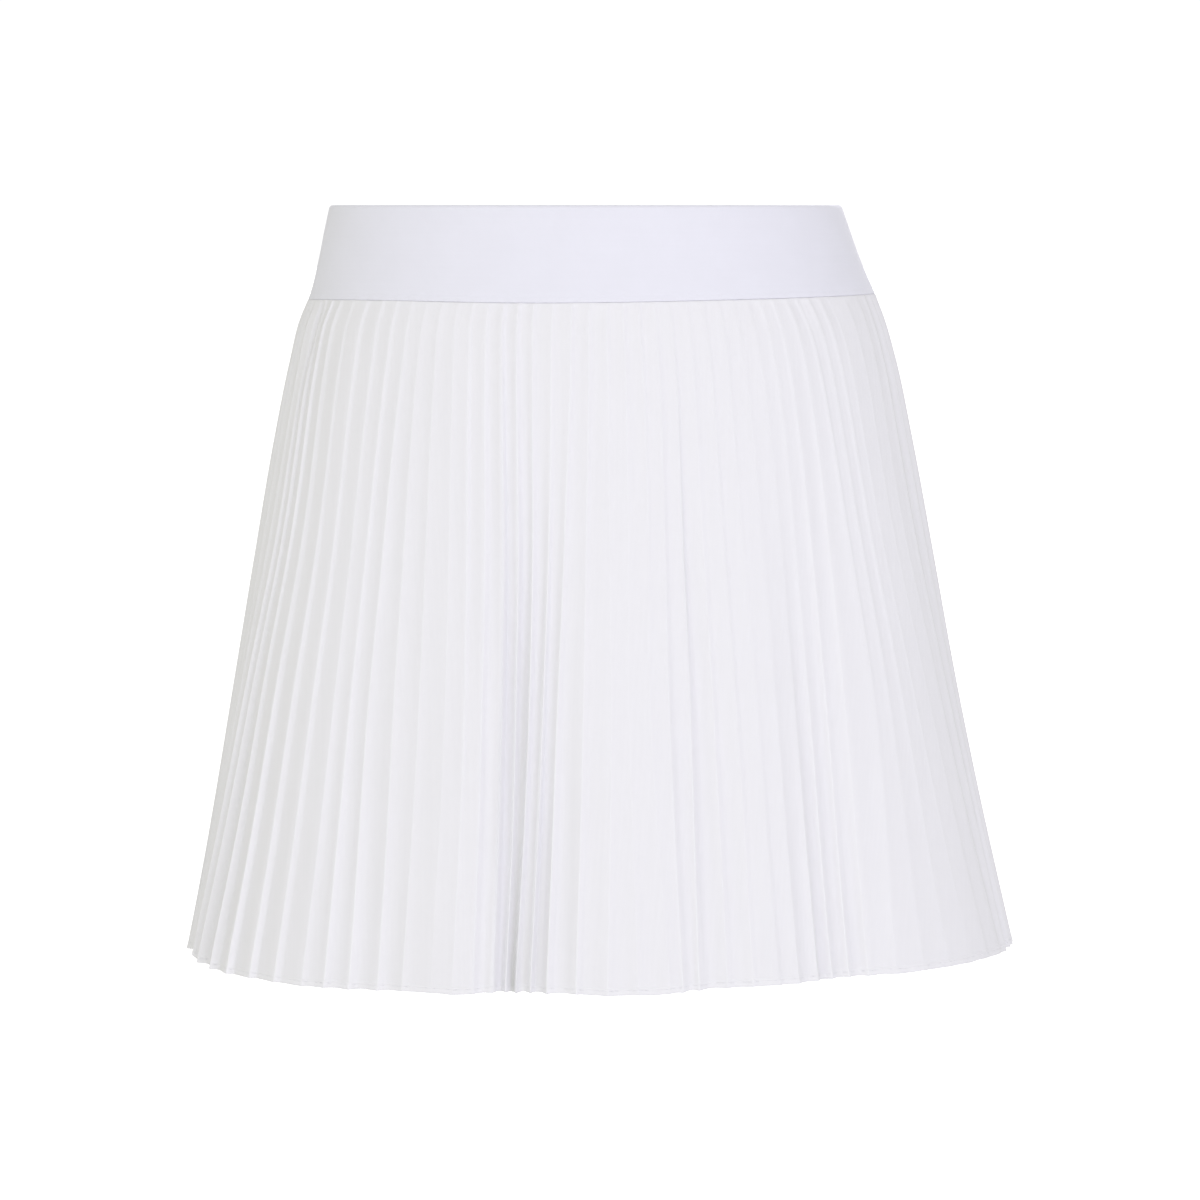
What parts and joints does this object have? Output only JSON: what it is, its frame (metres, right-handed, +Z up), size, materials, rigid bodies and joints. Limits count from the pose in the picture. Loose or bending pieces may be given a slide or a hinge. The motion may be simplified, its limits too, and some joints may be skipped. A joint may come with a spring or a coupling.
{
  "type": "tennis skirt",
  "caption": "Short flared sports skirt with narrow pressed pleats all round and a wide plain elastic waistband, filled out as worn, open at the waist and hem.",
  "frame": {"origin": "middle of the waist opening, half way up the waistband, where the wearer's waist holds it", "axes": "+Z up along the wearer, -Y towards the skirt's front, +X to the right as one looks at the front"},
  "size_m": [0.4268, 0.259, 0.3834],
  "materials": {
    "elastic": "matte",
    "pleated_cloth": "matte"
  },
  "bodies": {
    "root": {"waistband": "elastic", "skirt_front": "pleated_cloth", "skirt_back": "pleated_cloth"}
  },
  "joints": []
}
